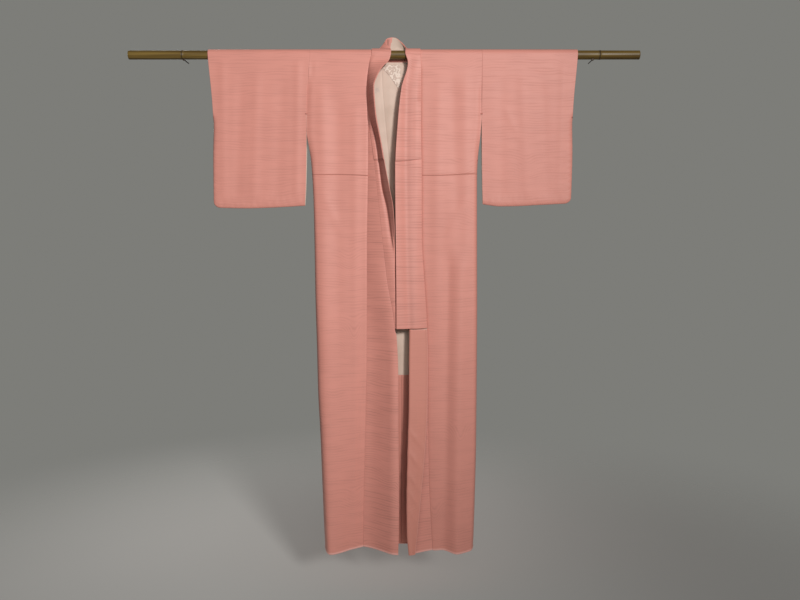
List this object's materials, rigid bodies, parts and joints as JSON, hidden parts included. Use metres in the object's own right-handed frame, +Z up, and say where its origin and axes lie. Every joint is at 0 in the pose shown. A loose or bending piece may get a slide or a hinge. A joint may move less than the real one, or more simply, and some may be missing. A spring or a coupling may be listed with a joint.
{
  "type": "silk kimono hung on a bamboo pole",
  "caption": "Lined silk kimono with wide collar and square sleeves, hung open at the front on a horizontal bamboo pole resting on nails.",
  "frame": {"origin": "on the bamboo pole's axis, at the garment's centre line", "axes": "+Z up; +X along the pole towards the wearer's left sleeve; the open front faces -Y and the back faces +Y, towards the wall"},
  "size_m": [1.633, 0.112, 1.6817],
  "materials": {
    "silk": "salmon pink silk with a watered pattern",
    "hem_silk": "plain salmon pink silk",
    "white_silk": "warm white silk lining",
    "bamboo": "aged yellow-brown bamboo",
    "steel": "dark oxidised wire nail"
  },
  "bodies": {
    "root": {"pole": "bamboo", "nail_right": "steel", "nail_left": "steel", "sleeve_right": "silk", "sleeve_left": "silk", "body_right": "silk", "body_left": "silk", "overlap_right": "silk", "overlap_left": "silk", "collar": "silk", "over_collar": "silk", "facing_left": "hem_silk", "hem_lining_right": "hem_silk", "hem_lining_left": "hem_silk", "back_lining_right": "white_silk", "back_lining_left": "white_silk", "nape_patch": "white_silk"}
  },
  "joints": []
}
